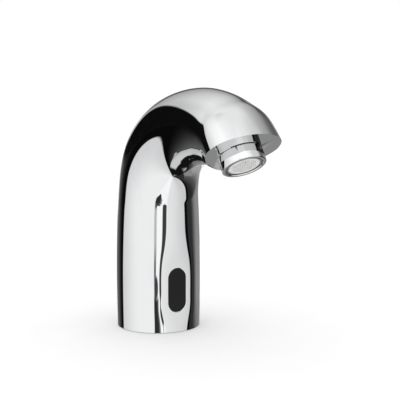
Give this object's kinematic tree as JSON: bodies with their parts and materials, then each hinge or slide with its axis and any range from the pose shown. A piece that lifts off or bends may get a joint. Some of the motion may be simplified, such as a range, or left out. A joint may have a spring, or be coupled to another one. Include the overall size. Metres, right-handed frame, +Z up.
{
  "type": "sensor basin tap",
  "caption": "Touchless basin tap: one arched plated column with a flat oblique mouth, screwed-in jet regulator, sensor window and internal solenoid valve.",
  "frame": {"origin": "on the column's axis, in the plane of the deck that the foot stands on", "axes": "+Z up, -Y the way the spout points, X across"},
  "size_m": [0.0504, 0.1363, 0.1458],
  "materials": {
    "plated_chrome": "polished chrome plate on cast brass",
    "raw_brass": "turned, unplated",
    "copper_tube": "drawn copper",
    "zinc_plate": "zinc plated",
    "steel": "stainless",
    "magnet_grey": "sintered",
    "black_rubber": "moulded",
    "grey_plastic": "moulded",
    "light_plastic": "moulded",
    "dark_plastic": "moulded",
    "dark_lens": "polished",
    "board_green": "glass fibre laminate"
  },
  "bodies": {
    "tap_body": {"spout_body": "plated_chrome", "outlet_nipple": "raw_brass", "water_tube": "copper_tube", "tube_o_rings": "black_rubber", "outlet_elbow": "raw_brass", "base_plate": "zinc_plate", "base_screws": "steel", "base_gasket": "black_rubber", "cable_grommet": "black_rubber", "inlet_adapter": "raw_brass", "inlet_o_ring": "black_rubber", "inlet_strainer": "steel", "check_valve_seat": "grey_plastic", "check_valve_cage": "grey_plastic", "check_valve_spring": "steel", "valve_body": "raw_brass", "diaphragm": "black_rubber", "valve_bonnet": "raw_brass", "armature_tube": "steel", "plunger_spring": "steel", "pole_piece": "steel", "coil_bobbin": "grey_plastic", "coil_winding": "copper_tube", "yoke": "zinc_plate", "latching_magnet": "magnet_grey", "coil_nut": "raw_brass", "sensor_window": "dark_lens", "sensor_gasket": "black_rubber", "sensor_housing": "dark_plastic", "circuit_board": "board_green", "ir_emitter": "dark_lens", "ir_receiver": "dark_lens", "sensor_lid": "dark_plastic", "sensor_screws": "steel"},
    "aerator_insert": {"aerator_cartridge": "grey_plastic", "aerator_screen": "light_plastic", "aerator_gasket": "black_rubber"},
    "aerator_ring": {"aerator_housing": "plated_chrome"},
    "solenoid_plunger": {"plunger": "steel", "plunger_seal": "black_rubber"},
    "diaphragm_centre": {"diaphragm_disc": "grey_plastic"},
    "check_poppet": {"check_valve_poppet": "grey_plastic"}
  },
  "joints": [
    {"name": "aerator_travel", "type": "slide", "parent": "tap_body", "child": "aerator_insert", "axis": [0, -0.5461, -0.8377], "range_m": [0, 0.004]},
    {"name": "aerator_unscrew", "type": "hinge", "parent": "aerator_insert", "child": "aerator_ring", "pos_m": [0, -0.0929, 0.11251], "axis": [0, -0.5461, -0.8377], "range_deg": [0, 1440]},
    {"name": "plunger_lift", "type": "slide", "parent": "tap_body", "child": "solenoid_plunger", "axis": [0, 0, 1], "range_m": [0, 0.0012], "stiffness_N_per_m": 300, "springref_m": -0.003, "deforming": ["plunger_spring"]},
    {"name": "diaphragm_lift", "type": "slide", "parent": "tap_body", "child": "diaphragm_centre", "axis": [0, 0, 1], "range_m": [0, 0.0015], "stiffness_N_per_m": 200, "springref_m": -0.003, "deforming": ["diaphragm"]},
    {"name": "check_open", "type": "slide", "parent": "tap_body", "child": "check_poppet", "axis": [0, 0, 1], "range_m": [0, 0.0012], "stiffness_N_per_m": 100, "springref_m": -0.002, "deforming": ["check_valve_spring"]}
  ],
  "couplings": [
    {"joint": "aerator_travel", "follows": "aerator_unscrew", "m_per_rad": 0.00015915}
  ]
}
